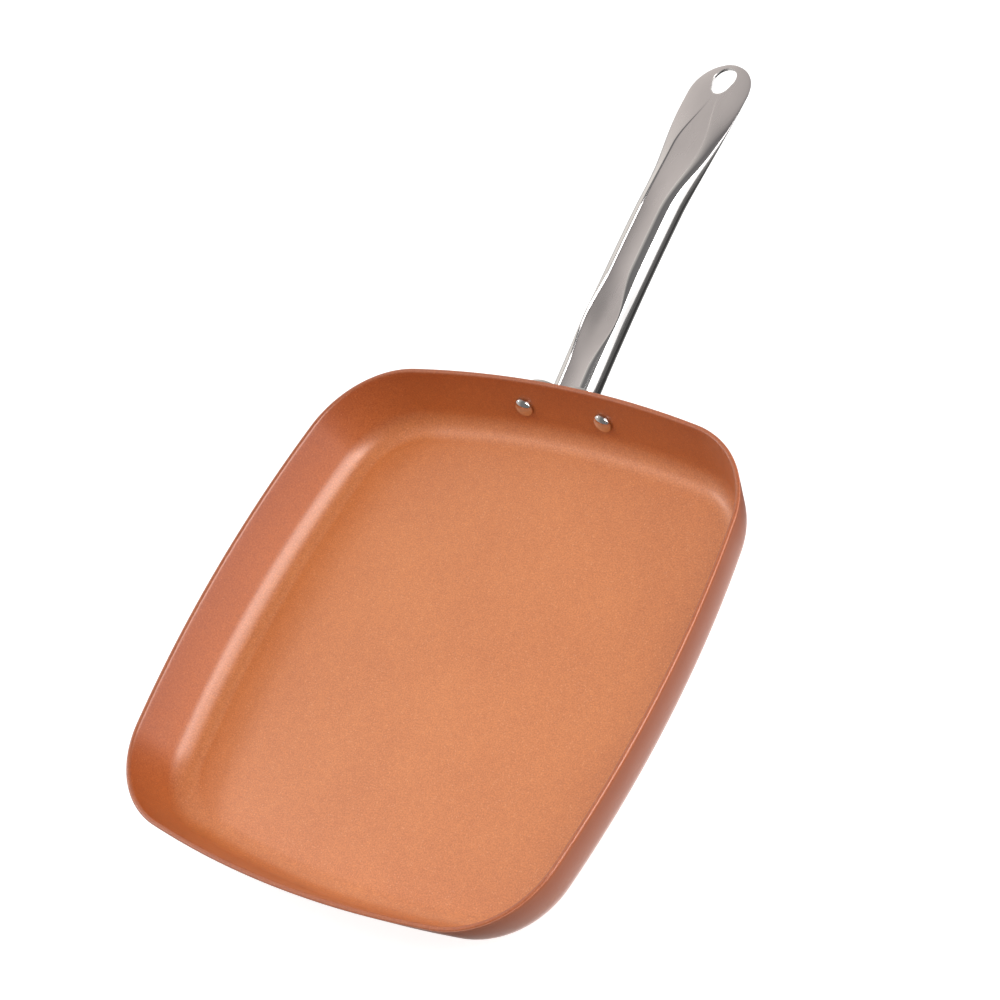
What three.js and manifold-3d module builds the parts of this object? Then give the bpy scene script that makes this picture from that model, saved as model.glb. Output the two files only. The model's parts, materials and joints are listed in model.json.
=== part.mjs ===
// Square frying pan: a pressed aluminium body with bowed sides and round corners, and a
// hollow stainless handle that sits on the collar of a flange riveted to the wall.
// Millimetres, +Z up. The underside of the base lies on z = 0 with its centre at the
// origin, and the handle points along +Y.
import * as THREE from 'three';
import * as BufferGeometryUtils from 'three/addons/utils/BufferGeometryUtils.js';
import Module from 'manifold-3d';

// Pan body
const RIM_WIDTH = 280;
const CORNER_RADIUS = 53;
const SIDE_BOW_RADIUS = 590;
const PAN_DEPTH = 35;
const BODY_SHEET = 2.4;
const WALL_DRAFT_DEGREES = 16;
const BASE_RADIUS = 17;
const RIM_ROUNDING = 0.8;

// Rivets and the flange that they hold
const MOUNT_HEIGHT = 18.2;
const RIVET_PITCH = 50;
const RIVET_SHANK_DIAMETER = 5;
const RIVET_HEAD_DIAMETER = 10.5;
const RIVET_HEAD_HEIGHT = 3;
const RIVET_HEAD_EDGE = 0.5;
const RIVET_TAIL_DIAMETER = 8.6;
const RIVET_TAIL_HEIGHT = 1.9;
const RIVET_TAIL_EDGE = 0.4;
const FLANGE_SHEET = 2;
const FLANGE_HEIGHT = 25;
const FLANGE_END_DIAMETER = 18;
const COLLAR_LENGTH = 12;
const COLLAR_SHEET = 1.5;

// Handle tube. Places along it are measured from the rim or back from the tip.
const HANDLE_REACH = 200;
const HANDLE_TIP_HEIGHT = 34;
const TUBE_DIAMETER = 24;
const HANDLE_SHEET = 1;
const TIP_WIDTH = 37;
const FLATTENING_FROM_TIP = 88;
const FLAT_FROM_TIP = 27;
const HOLLOW_END_FROM_TIP = 43;

// Land pressed into the top of the tube, with heights above the tube's axis
const NECK_FROM_RIM = 15;
const NECK_LAND_WIDTH = 11.2;
const NECK_LAND_HEIGHT = 6;
const THUMB_REST_FROM_RIM = 44;
const THUMB_REST_WIDTH = 18.8;
const THUMB_REST_HEIGHT = 4.4;
const GRIP_FROM_RIM = 72;
const GRIP_END_FROM_TIP = 95;
const GRIP_LAND_WIDTH = 10.6;
const GRIP_LAND_HEIGHT = 6.3;
const FLARE_FROM_TIP = 53;
const FLARE_LAND_WIDTH = 16.6;
const FLARE_LAND_HEIGHT = 2.2;
const LAND_END_FROM_TIP = 18;
const LAND_END_WIDTH = 3;
const LAND_DEPTH = 1.3;
const FLARE_LAND_DEPTH = 0.4;
const LAND_DISH = 0.35;
const CREST_WIDTH = 0.9;
const LEAST_SHOULDER = 0.6;

// Hanging hole, a teardrop with its round end towards the tip
const HOLE_FROM_TIP = 2.8;
const HOLE_WIDTH = 13.6;
const HOLE_LENGTH = 16.2;
const HOLE_NARROW_WIDTH = 10.6;

// Fits between pieces
const SEAT_GAP = 0.3;
const COLLAR_GAP = 0.3;
const SHANK_GAP = 0.3;

// Facets
const SIDE_STEPS = 8;
const CORNER_STEPS = 10;
const FILLET_STEPS = 7;
const RIM_STEPS = 3;
const OUTSIDE_DETAIL = { spacing: 6, underside: 12, shoulder: 6, crest: 3, land: 3 };
const INSIDE_DETAIL = { spacing: 12, underside: 8, shoulder: 4, crest: 2, land: 1 };
const TIP_STEPS = 8;
const TIP_LAST_ANGLE = THREE.MathUtils.degToRad(85);
const RIVET_SEGMENTS = 22;
const DOME_STEPS = 5;
const ARC_STEPS = 10;
const FLANGE_STEPS = 16;
const ROUND_POWER = 2;
const FLAT_POWER = 4;

const wasm = await Module();
wasm.setup();

// Solids

// Joins rings of equal length into one closed skin with a fan on each end. Each ring runs
// anticlockwise as seen from the end that the rings advance to.
function loft(rings) {
  const count = rings[0].length;
  const positions = [];
  const indices = [];
  for (const ring of rings) {
    for (const point of ring) positions.push(point.x, point.y, point.z);
  }
  for (let i = 0; i < rings.length - 1; i++) {
    for (let j = 0; j < count; j++) {
      const a = i * count + j;
      const b = i * count + ((j + 1) % count);
      indices.push(a, b, b + count, a, b + count, a + count);
    }
  }
  const last = (rings.length - 1) * count;
  const startCentre = positions.length / 3;
  for (const ring of [rings[0], rings[rings.length - 1]]) {
    const centre = new THREE.Vector3();
    for (const point of ring) centre.addScaledVector(point, 1 / count);
    positions.push(centre.x, centre.y, centre.z);
  }
  for (let j = 0; j < count; j++) {
    const next = (j + 1) % count;
    indices.push(startCentre, next, j, startCentre + 1, last + j, last + next);
  }
  const geometry = new THREE.BufferGeometry();
  geometry.setAttribute('position', new THREE.Float32BufferAttribute(positions, 3));
  geometry.setIndex(indices);
  return geometry;
}

function solidOf(geometry) {
  const bare = new THREE.BufferGeometry();
  bare.setAttribute('position', geometry.getAttribute('position'));
  bare.setIndex(geometry.getIndex());
  const merged = BufferGeometryUtils.mergeVertices(bare);
  const vertProperties = Float32Array.from(merged.getAttribute('position').array);
  const triVerts = Uint32Array.from(merged.getIndex().array);
  return new wasm.Manifold(new wasm.Mesh({ numProp: 3, vertProperties, triVerts }));
}

function geometryOf(solid) {
  const mesh = solid.getMesh();
  const geometry = new THREE.BufferGeometry();
  geometry.setAttribute('position', new THREE.Float32BufferAttribute(mesh.vertProperties, 3));
  geometry.setIndex(Array.from(mesh.triVerts));
  geometry.computeVertexNormals();
  return geometry;
}

// An outline that wraps a row of circles on one line, each { at, radius }, with straight
// tangents between neighbours.
function wrappedCircles(circles) {
  const tangents = [];
  for (let i = 0; i < circles.length - 1; i++) {
    const apart = circles[i + 1].at - circles[i].at;
    tangents.push(Math.acos((circles[i].radius - circles[i + 1].radius) / apart));
  }
  const shape = new THREE.Shape();
  const last = circles.length - 1;
  const arc = (i, from, to) => shape.absarc(circles[i].at, 0, circles[i].radius, from, to, false);
  arc(last, -tangents[last - 1], tangents[last - 1]);
  for (let i = last - 1; i > 0; i--) arc(i, tangents[i], tangents[i - 1]);
  arc(0, tangents[0], 2 * Math.PI - tangents[0]);
  for (let i = 1; i < last; i++) arc(i, -tangents[i - 1], -tangents[i]);
  return shape;
}

// Pan body

const WALL_DRAFT = THREE.MathUtils.degToRad(WALL_DRAFT_DEGREES);
const BOW_CENTRE = RIM_WIDTH / 2 - SIDE_BOW_RADIUS;
const CORNER_TO_BOW = SIDE_BOW_RADIUS - CORNER_RADIUS;
const CORNER_CENTRE = (BOW_CENTRE + Math.sqrt(2 * CORNER_TO_BOW ** 2 - BOW_CENTRE ** 2)) / 2;
const CORNER_START = Math.atan2(CORNER_CENTRE, CORNER_CENTRE - BOW_CENTRE);

// One level line of the body: a bowed side and a corner arc, turned round four quarters.
function bodyRing({ inset, height }) {
  const bow = SIDE_BOW_RADIUS - inset;
  const corner = CORNER_RADIUS - inset;
  const side = new THREE.EllipseCurve(BOW_CENTRE, 0, bow, bow, -CORNER_START, CORNER_START);
  const turn = new THREE.EllipseCurve(
    CORNER_CENTRE, CORNER_CENTRE, corner, corner, CORNER_START, Math.PI / 2 - CORNER_START,
  );
  const ring = [];
  for (let quarter = 0; quarter < 4; quarter++) {
    for (const [curve, steps] of [[side, SIDE_STEPS], [turn, CORNER_STEPS]]) {
      for (let i = 0; i < steps; i++) {
        const flat = curve.getPoint(i / steps);
        flat.rotateAround(new THREE.Vector2(), quarter * Math.PI / 2);
        ring.push(new THREE.Vector3(flat.x, flat.y, height));
      }
    }
  }
  return ring;
}

// How far the outer wall stands inside the rim's outline at a height, on its straight part.
function wallInset(height) {
  return (PAN_DEPTH - height) * Math.tan(WALL_DRAFT);
}

// The base corner's arc, from the flat base up to the wall, for the outer or the inner skin.
function baseFillet(radius) {
  const tangentHeight = BASE_RADIUS * (1 - Math.sin(WALL_DRAFT));
  const centreInset = wallInset(tangentHeight) + BASE_RADIUS * Math.cos(WALL_DRAFT);
  const levels = [];
  for (let i = 0; i <= FILLET_STEPS; i++) {
    const angle = THREE.MathUtils.lerp(Math.PI / 2, WALL_DRAFT, i / FILLET_STEPS);
    levels.push({
      inset: centreInset - radius * Math.cos(angle),
      height: BASE_RADIUS - radius * Math.sin(angle),
    });
  }
  return levels;
}

// The rim's two rounded edges, from the outer wall over the top to the inner wall.
function rimLevels() {
  const across = BODY_SHEET / Math.cos(WALL_DRAFT);
  const drop = RIM_ROUNDING * Math.tan(WALL_DRAFT);
  const edge = (wallSide, corner, topSide) => {
    const curve = new THREE.QuadraticBezierCurve(wallSide, corner, topSide);
    return curve.getPoints(RIM_STEPS).map((point) => ({ inset: point.x, height: point.y }));
  };
  const outer = edge(
    new THREE.Vector2(drop, PAN_DEPTH - RIM_ROUNDING),
    new THREE.Vector2(0, PAN_DEPTH),
    new THREE.Vector2(RIM_ROUNDING, PAN_DEPTH),
  );
  const inner = edge(
    new THREE.Vector2(across + drop, PAN_DEPTH - RIM_ROUNDING),
    new THREE.Vector2(across, PAN_DEPTH),
    new THREE.Vector2(across - RIM_ROUNDING, PAN_DEPTH),
  );
  return [...outer, ...inner.reverse()];
}

// A point on the outer wall's face on the handle side, moved outwards by an offset
function wallPoint(x, height, offset) {
  const radius = SIDE_BOW_RADIUS - wallInset(height) + offset / Math.cos(WALL_DRAFT);
  return new THREE.Vector3(x, BOW_CENTRE + Math.sqrt(radius ** 2 - x ** 2), height);
}

function wallNormal(x) {
  const turn = Math.asin(x / (SIDE_BOW_RADIUS - wallInset(MOUNT_HEIGHT)));
  const outwards = Math.cos(WALL_DRAFT);
  return new THREE.Vector3(
    Math.sin(turn) * outwards, Math.cos(turn) * outwards, -Math.sin(WALL_DRAFT),
  );
}

// A slab that follows the handle-side wall between two offsets from its outer face
function wallSlab(nearOffset, farOffset) {
  const reach = RIVET_PITCH;
  const rings = [];
  for (let i = 0; i <= FLANGE_STEPS; i++) {
    const x = THREE.MathUtils.lerp(-reach, reach, i / FLANGE_STEPS);
    rings.push([
      wallPoint(x, -PAN_DEPTH, nearOffset),
      wallPoint(x, -PAN_DEPTH, farOffset),
      wallPoint(x, 2 * PAN_DEPTH, farOffset),
      wallPoint(x, 2 * PAN_DEPTH, nearOffset),
    ]);
  }
  return solidOf(loft(rings));
}

const RIVET_SIDES = [-RIVET_PITCH / 2, RIVET_PITCH / 2];

// A hole for a rivet's shank, square to the wall, through the wall and the flange
function rivetHole(x) {
  const radius = RIVET_SHANK_DIAMETER / 2 + SHANK_GAP;
  const hole = new THREE.CylinderGeometry(radius, radius, RIVET_PITCH / 2, RIVET_SEGMENTS);
  hole.applyQuaternion(rivetTurn(x));
  const seat = wallPoint(x, MOUNT_HEIGHT, 0);
  hole.translate(seat.x, seat.y, seat.z);
  return solidOf(hole);
}

function rivetTurn(x) {
  return new THREE.Quaternion().setFromUnitVectors(new THREE.Vector3(0, 1, 0), wallNormal(x));
}

function panBody() {
  const levels = [
    ...baseFillet(BASE_RADIUS),
    ...rimLevels(),
    ...baseFillet(BASE_RADIUS - BODY_SHEET).reverse(),
  ];
  let body = solidOf(loft(levels.map(bodyRing)));
  for (const x of RIVET_SIDES) body = body.subtract(rivetHole(x));
  return geometryOf(body);
}

// Handle tube

// At the tip the tube's two walls are pressed together.
const TIP_THICKNESS = 2 * HANDLE_SHEET;
const TIP_Y = RIM_WIDTH / 2 + HANDLE_REACH;
const ROOT_Y = wallPoint(0, MOUNT_HEIGHT, SEAT_GAP + FLANGE_SHEET).y;

// The tube's axis leaves the flange rising and levels out at the tip.
function axisFrame(place) {
  const y = RIM_WIDTH / 2 + place;
  const share = (y - ROOT_Y) / (TIP_Y - ROOT_Y);
  const rise = HANDLE_TIP_HEIGHT - MOUNT_HEIGHT;
  const slope = 2 * rise * (1 - share) / (TIP_Y - ROOT_Y);
  const height = MOUNT_HEIGHT + rise * share * (2 - share);
  return {
    centre: new THREE.Vector3(0, y, height),
    up: new THREE.Vector3(0, -slope, 1).normalize(),
  };
}

const LAND_PLACES = [
  { at: NECK_FROM_RIM, width: NECK_LAND_WIDTH, height: NECK_LAND_HEIGHT, depth: LAND_DEPTH },
  { at: THUMB_REST_FROM_RIM, width: THUMB_REST_WIDTH, height: THUMB_REST_HEIGHT, depth: LAND_DEPTH },
  { at: GRIP_FROM_RIM, width: GRIP_LAND_WIDTH, height: GRIP_LAND_HEIGHT, depth: LAND_DEPTH },
  {
    at: HANDLE_REACH - GRIP_END_FROM_TIP,
    width: GRIP_LAND_WIDTH,
    height: GRIP_LAND_HEIGHT,
    depth: LAND_DEPTH,
  },
  {
    at: HANDLE_REACH - FLARE_FROM_TIP,
    width: FLARE_LAND_WIDTH,
    height: FLARE_LAND_HEIGHT,
    depth: FLARE_LAND_DEPTH,
  },
  {
    at: HANDLE_REACH - LAND_END_FROM_TIP,
    width: LAND_END_WIDTH,
    height: TIP_THICKNESS / 2,
    depth: 0,
  },
];

// The land's width, height and depth at a place, eased from one named place to the next
function landAt(place) {
  const first = LAND_PLACES[0];
  const last = LAND_PLACES[LAND_PLACES.length - 1];
  if (place <= first.at) return first;
  if (place >= last.at) return last;
  const after = LAND_PLACES.findIndex((land) => land.at > place);
  const from = LAND_PLACES[after - 1];
  const to = LAND_PLACES[after];
  const ease = THREE.MathUtils.smoothstep(place, from.at, to.at);
  return {
    width: THREE.MathUtils.lerp(from.width, to.width, ease),
    height: THREE.MathUtils.lerp(from.height, to.height, ease),
    depth: THREE.MathUtils.lerp(from.depth, to.depth, ease),
  };
}

// How far the tube is pressed flat at a place: 0 for the round tube, 1 for the tip
function flatness(place) {
  const from = HANDLE_REACH - FLATTENING_FROM_TIP;
  return THREE.MathUtils.smoothstep(place, from, HANDLE_REACH - FLAT_FROM_TIP);
}

// The tip's outline is round, so its half width follows a circle over the last stretch, and
// its thickness closes in a blunter curve.
function tipClosing(place) {
  const into = Math.max(0, (place - (HANDLE_REACH - TIP_WIDTH / 2)) / (TIP_WIDTH / 2));
  return {
    width: Math.sqrt(1 - into ** ROUND_POWER),
    thickness: (1 - into ** FLAT_POWER) ** (1 / FLAT_POWER),
  };
}

// One ring of the tube: a round underside, round shoulders that rise to a crest on each
// side, and the land sunk between the crests and slightly dished. The inset moves the whole
// ring into the sheet.
function tubeRing(place, inset, detail) {
  const flat = flatness(place);
  const land = landAt(place);
  const lerp = THREE.MathUtils.lerp;
  const closing = tipClosing(place);
  const half = lerp(TUBE_DIAMETER, TIP_WIDTH, flat) * closing.width / 2 - inset;
  const below = (lerp(TUBE_DIAMETER, TIP_THICKNESS, flat) / 2 - inset) * closing.thickness;
  const power = 2 / lerp(ROUND_POWER, FLAT_POWER, flat);
  const crest = Math.min(land.width / 2 + CREST_WIDTH, half - LEAST_SHOULDER);
  const landHalf = Math.max(crest - CREST_WIDTH, crest / 2);
  const landHeight = (land.height - inset) * closing.thickness;
  const shoulder = landHeight + land.depth;
  const dish = LAND_DISH * (1 - flat);

  const quarter = [];
  for (let i = 0; i < detail.shoulder; i++) {
    const angle = (i / detail.shoulder) * Math.PI / 2;
    quarter.push([
      crest + (half - crest) * Math.cos(angle) ** power,
      shoulder * Math.sin(angle) ** power,
    ]);
  }
  for (let i = 0; i < detail.crest; i++) {
    const share = i / detail.crest;
    const drop = land.depth * THREE.MathUtils.smoothstep(share, 0, 1);
    quarter.push([lerp(crest, landHalf, share), shoulder - drop]);
  }
  for (let i = 0; i < detail.land; i++) {
    const share = 1 - i / detail.land;
    quarter.push([landHalf * share, landHeight - dish * (1 - share ** 2)]);
  }
  const top = [
    ...quarter.map(([x, z]) => [-x, z]),
    [0, landHeight - dish],
    ...quarter.toReversed(),
  ];
  const underside = [];
  for (let i = 1; i < detail.underside; i++) {
    const angle = (i / detail.underside) * Math.PI;
    const across = Math.cos(angle);
    underside.push([
      half * Math.sign(across) * Math.abs(across) ** power,
      -below * Math.sin(angle) ** power,
    ]);
  }
  const { centre, up } = axisFrame(place);
  return [...top, ...underside].map(
    ([x, z]) => new THREE.Vector3(x, 0, 0).addScaledVector(up, z).add(centre),
  );
}

function evenPlaces(from, to, detail) {
  const steps = Math.max(1, Math.round((to - from) / detail.spacing));
  return Array.from({ length: steps + 1 }, (_, i) => THREE.MathUtils.lerp(from, to, i / steps));
}

function tubeLoft(places, inset, detail) {
  return solidOf(loft(places.map((place) => tubeRing(place, inset, detail))));
}

// A plain length of the tube's form inside its outer skin
function innerLoft(from, to, inset) {
  return tubeLoft(evenPlaces(from, to, INSIDE_DETAIL), inset, INSIDE_DETAIL);
}

// The tube's rings start behind the flange, and its end is then cut to the flange's face.
const BEHIND_FLANGE = ROOT_Y - RIM_WIDTH / 2 - TUBE_DIAMETER / 2;
const FLANGE_FACE = SEAT_GAP + FLANGE_SHEET;

function hangingHole() {
  const wide = HOLE_WIDTH / 2;
  const narrow = HOLE_NARROW_WIDTH / 2;
  const roundEnd = TIP_Y - HOLE_FROM_TIP - wide;
  const narrowEnd = TIP_Y - HOLE_FROM_TIP - HOLE_LENGTH + narrow;
  const outline = wrappedCircles([
    { at: narrowEnd, radius: narrow },
    { at: roundEnd, radius: wide },
  ]);
  const depth = 2 * HANDLE_TIP_HEIGHT;
  const hole = new THREE.ExtrudeGeometry(outline, {
    depth, bevelEnabled: false, curveSegments: ARC_STEPS,
  });
  hole.rotateZ(Math.PI / 2);
  return solidOf(hole);
}

function handle() {
  const tipCentre = HANDLE_REACH - TIP_WIDTH / 2;
  const tipPlaces = Array.from({ length: TIP_STEPS }, (_, i) => {
    const angle = TIP_LAST_ANGLE * (i + 1) / TIP_STEPS;
    return tipCentre + Math.sin(angle) * TIP_WIDTH / 2;
  });
  const tubePlaces = evenPlaces(BEHIND_FLANGE, tipCentre, OUTSIDE_DETAIL);
  const outside = tubeLoft([...tubePlaces, ...tipPlaces], 0, OUTSIDE_DETAIL);
  const hollowEnd = HANDLE_REACH - HOLLOW_END_FROM_TIP;
  const hollow = innerLoft(BEHIND_FLANGE - HANDLE_SHEET, hollowEnd, HANDLE_SHEET);
  const seatCut = wallSlab(-2 * TUBE_DIAMETER, FLANGE_FACE + SEAT_GAP);
  return geometryOf(outside.subtract(hollow).subtract(seatCut).subtract(hangingHole()));
}

// Flange

// A stamped eye-shaped plate that follows the wall, with a collar drawn out of its middle
// that the tube slides over.
function handleFlange() {
  const end = FLANGE_END_DIAMETER / 2;
  const outline = wrappedCircles([
    { at: -RIVET_PITCH / 2, radius: end },
    { at: 0, radius: FLANGE_HEIGHT / 2 },
    { at: RIVET_PITCH / 2, radius: end },
  ]);
  const blank = new THREE.ExtrudeGeometry(outline, {
    depth: FLANGE_HEIGHT, bevelEnabled: false, curveSegments: ARC_STEPS,
  });
  blank.translate(0, 0, -FLANGE_HEIGHT / 2);
  const normal = wallNormal(0);
  const across = new THREE.Vector3(1, 0, 0);
  const down = new THREE.Vector3().crossVectors(normal, across);
  blank.applyMatrix4(new THREE.Matrix4().makeBasis(across, down, normal));
  const seat = wallPoint(0, MOUNT_HEIGHT, 0);
  blank.translate(seat.x, seat.y, seat.z);
  let plate = wallSlab(SEAT_GAP, FLANGE_FACE).intersect(solidOf(blank));
  for (const x of RIVET_SIDES) plate = plate.subtract(rivetHole(x));

  const collarEnd = ROOT_Y - RIM_WIDTH / 2 + COLLAR_LENGTH;
  const collarInset = HANDLE_SHEET + COLLAR_GAP;
  const collar = innerLoft(BEHIND_FLANGE, collarEnd, collarInset)
    .subtract(wallSlab(-2 * TUBE_DIAMETER, SEAT_GAP + FLANGE_SHEET / 2));
  const boreInset = collarInset + COLLAR_SHEET;
  const bore = innerLoft(BEHIND_FLANGE - COLLAR_SHEET, collarEnd + COLLAR_SHEET, boreInset);
  return geometryOf(plate.add(collar).subtract(bore));
}

// Rivets

// A solid rivet on its own axis, with y = 0 on the wall's outer face, the domed head inside
// the pan at negative y and the set tail on the flange.
function rivet() {
  const headSeat = -BODY_SHEET - SEAT_GAP;
  const tailSeat = FLANGE_FACE + SEAT_GAP;
  const dome = (seat, radius, edge, height, direction) => {
    const points = [];
    for (let i = 0; i <= DOME_STEPS; i++) {
      const angle = (i / DOME_STEPS) * Math.PI / 2;
      const out = radius * Math.cos(angle);
      const rise = edge + (height - edge) * Math.sin(angle);
      points.push(new THREE.Vector2(i === DOME_STEPS ? 0 : out, seat + direction * rise));
    }
    return [new THREE.Vector2(radius, seat), ...points];
  };
  const head = dome(headSeat, RIVET_HEAD_DIAMETER / 2, RIVET_HEAD_EDGE, RIVET_HEAD_HEIGHT, -1);
  const tail = dome(tailSeat, RIVET_TAIL_DIAMETER / 2, RIVET_TAIL_EDGE, RIVET_TAIL_HEIGHT, 1);
  const shank = RIVET_SHANK_DIAMETER / 2;
  const profile = [
    ...head.toReversed(),
    new THREE.Vector2(shank, headSeat),
    new THREE.Vector2(shank, tailSeat),
    ...tail,
  ];
  return new THREE.LatheGeometry(profile, RIVET_SEGMENTS);
}

// Finishes
const copperCoat = { color: 0xc07648, roughness: 0.42, metalness: 0.35 };
const satinSteel = { color: 0xb4b0b0, roughness: 0.28, metalness: 1 };
const polishedSteel = { color: 0xd0cdca, roughness: 0.15, metalness: 1 };

function piece(name, geometry, finish) {
  const mesh = new THREE.Mesh(geometry, new THREE.MeshStandardMaterial(finish));
  mesh.name = name;
  return mesh;
}

const pan = new THREE.Group();
pan.name = 'square_frying_pan';
pan.add(piece('pan_body', panBody(), copperCoat));
pan.add(piece('handle', handle(), satinSteel));
pan.add(piece('handle_flange', handleFlange(), satinSteel));
for (const [side, x] of [['left', RIVET_SIDES[0]], ['right', RIVET_SIDES[1]]]) {
  const mesh = piece(`rivet_${side}`, rivet(), polishedSteel);
  mesh.quaternion.copy(rivetTurn(x));
  mesh.position.copy(wallPoint(x, MOUNT_HEIGHT, 0));
  pan.add(mesh);
}

export default pan;
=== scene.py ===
"""Square frying pan: a pressed body with a copper-coloured coat, a hollow steel handle on a
riveted flange, and a plain studio. Metres, +Z up, with the base on z = 0 and the handle
along +Y.
"""

import json
import math

import bmesh
import bpy
import numpy as np
from bpy.props import FloatProperty, FloatVectorProperty, PointerProperty
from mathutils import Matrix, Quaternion, Vector

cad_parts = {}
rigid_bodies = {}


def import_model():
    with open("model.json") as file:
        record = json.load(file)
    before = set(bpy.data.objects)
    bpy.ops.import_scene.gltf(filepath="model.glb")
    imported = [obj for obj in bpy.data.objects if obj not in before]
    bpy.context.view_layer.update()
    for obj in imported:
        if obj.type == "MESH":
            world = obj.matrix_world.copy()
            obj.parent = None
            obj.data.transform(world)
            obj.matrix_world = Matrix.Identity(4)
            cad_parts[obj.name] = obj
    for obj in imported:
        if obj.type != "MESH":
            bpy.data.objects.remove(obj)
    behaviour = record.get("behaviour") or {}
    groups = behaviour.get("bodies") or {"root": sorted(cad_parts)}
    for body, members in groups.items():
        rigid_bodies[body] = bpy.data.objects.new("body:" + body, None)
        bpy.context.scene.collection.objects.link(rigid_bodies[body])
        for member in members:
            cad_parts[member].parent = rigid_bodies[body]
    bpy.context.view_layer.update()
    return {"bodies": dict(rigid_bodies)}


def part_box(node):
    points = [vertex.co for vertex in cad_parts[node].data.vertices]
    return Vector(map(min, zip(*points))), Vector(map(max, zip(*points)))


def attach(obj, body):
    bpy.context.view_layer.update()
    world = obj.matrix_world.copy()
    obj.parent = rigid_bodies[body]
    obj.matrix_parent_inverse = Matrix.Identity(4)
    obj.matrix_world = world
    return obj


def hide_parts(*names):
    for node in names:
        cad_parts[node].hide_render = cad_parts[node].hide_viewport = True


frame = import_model()
BODY = next(iter(frame["bodies"]))

bl_info = {
    "name": "Square Frying Pan",
    "version": (1, 0, 0),
    "blender": (4, 5, 0),
    "location": "View3D > Sidebar > Frying Pan",
    "description": "Builds a square frying pan with a riveted hollow handle",
    "category": "Add Mesh",
}

MM = 0.001

# Fits between pieces
SEAT_GAP = 0.3 * MM
COLLAR_GAP = 0.3 * MM
SHANK_GAP = 0.3 * MM

# The pan body's mesh
SIDE_STEPS = 72
CORNER_STEPS = 36
FLOOR_RINGS = 12
FILLET_STEPS = 22
WALL_STEPS = 9
RIM_STEPS = 6
WELD_DISTANCE = 0.005 * MM

# The land pressed into the top of the handle: a place along the handle, counted from the rim
# where it is positive and from the tip where it is negative, then the land's width, its
# height above the tube's axis and its depth below the crests
LAND_PLACES = (
    (15 * MM, 11.2 * MM, 6 * MM, 0.8 * MM),
    (44 * MM, 18.8 * MM, 4.4 * MM, 0.8 * MM),
    (72 * MM, 10.6 * MM, 6.3 * MM, 0.8 * MM),
    (-95 * MM, 10.6 * MM, 6.3 * MM, 0.8 * MM),
    (-53 * MM, 16.6 * MM, 2.2 * MM, 0.4 * MM),
    (-18 * MM, 3 * MM, 1 * MM, 0),
)
LAND_DISH = 0.45 * MM
CREST_WIDTH = 0.8 * MM
LEAST_SHOULDER = 0.6 * MM
LEAST_CREST_SHARE = 0.5
LEAST_LAND_SHARE = 0.5
FLATTENING_FROM_TIP = 88 * MM
FLAT_FROM_TIP = 27 * MM
HOLLOW_END_FROM_TIP = 43 * MM
# How square a curve is: 2 is an ellipse, less is pointed and more is boxy
ROUND_POWER = 2
FLAT_TOP_POWER = 1.6
FLAT_UNDERSIDE_POWER = 4
TIP_THINNING_POWER = 4

# The thumb's shallow dimple in the land
DIMPLE_FROM_RIM = 47 * MM
DIMPLE_LENGTH = 11 * MM
DIMPLE_WIDTH = 5 * MM
DIMPLE_DEPTH = 0.35 * MM

# The handle's mesh
SHOULDER_POINTS = 28
CREST_POINTS = 10
LAND_POINTS = 10
UNDERSIDE_POINTS = 48
ROOT_RINGS = 8
ROOT_END = 14 * MM
OUTSIDE_SPACING = 1.2 * MM
INSIDE_SPACING = 5 * MM
TIP_RINGS = 26
TIP_LAST_ANGLE = math.radians(89)
ROOT_SOLVE_STEPS = 8

# The hanging hole: a wide and a narrow circle wrapped by one outline, with a rounded lip
HOLE_FROM_TIP = 2.8 * MM
HOLE_WIDTH = 13.6 * MM
HOLE_LENGTH = 16.2 * MM
HOLE_NARROW_WIDTH = 10.6 * MM
HOLE_LIP = 0.45 * MM
HOLE_LIP_STEPS = 5
HOLE_REACH = 4 * MM
ARC_POINTS = 40

# The flange
COLLAR_LENGTH = 12 * MM
COLLAR_SHEET = 1.5 * MM
FLANGE_EDGE = 0.7 * MM
FLANGE_EDGE_STEPS = 5
FLANGE_FACE_RINGS = 14
COLLAR_RINGS = 6

# The rivets and the cut for their shanks
RIVET_COUNT = 2
RIVET_SEGMENTS = 64
DOME_STEPS = 18
SHANK_CUT_REACH = 12.5 * MM

# Edges that turn by more than this stay sharp
SHARP_ANGLE = math.radians(38)

# Textures: scales are in cells to the metre, and a noise mostly keeps to these values
NOISE_VALUES = (0.3, 0.7)

# The coat's grain, clouds and mottling, with how far each moves towards the lighter grains
GRAIN_SCALE = 1300
GRAIN_SHARES = (0.10, 0.90)
CLOUD_SCALE = 16
CLOUD_SHARES = (-0.10, 0.10)
MOTTLE_SCALE = 260
MOTTLE_SHARES = (-0.08, 0.08)

# The coat's flakes: which cells hold one, how far it reaches and how strong it is
FLAKE_SCALE = 1100
FLAKE_DRAWS = (0.80, 1.0)
FLAKE_FADE = (0.22, 0.48)
FLAKE_STRENGTH = 0.55
FLAKES_ON_WALL = 0.35
FLAKE_POLISH = 0.1

# Heights between which the coat's colours change: painted shade on the walls and again towards the
# rim, and on the outside a painted floor reflection low down that gives way to painted shade near
# the rim
WALL_TINT_HEIGHTS = (2.9 * MM, 11 * MM)
RIM_TINT_HEIGHTS = (14 * MM, 33 * MM)
OUTER_REFLECTION_HEIGHTS = (6 * MM, 28 * MM)
OUTER_GRAIN = 0.2
# Painted shade: a dark line on the outside just under the rim, where it starts and ends and how
# dark it gets
LIP_BELOW_RIM = (2.6 * MM, 0.9 * MM)
LIP_SHADE_STRENGTH = 0.65

# The coat's gloss
COAT_METALLIC = 0.10
COAT_SPECULAR = 1.0
COAT_ROUGHNESS = (0.36, 0.46)
GLAZE_WEIGHT = 0.6
GLAZE_ROUGHNESS = 0.31
COAT_BUMP = (0.22, 0.05 * MM)
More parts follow.
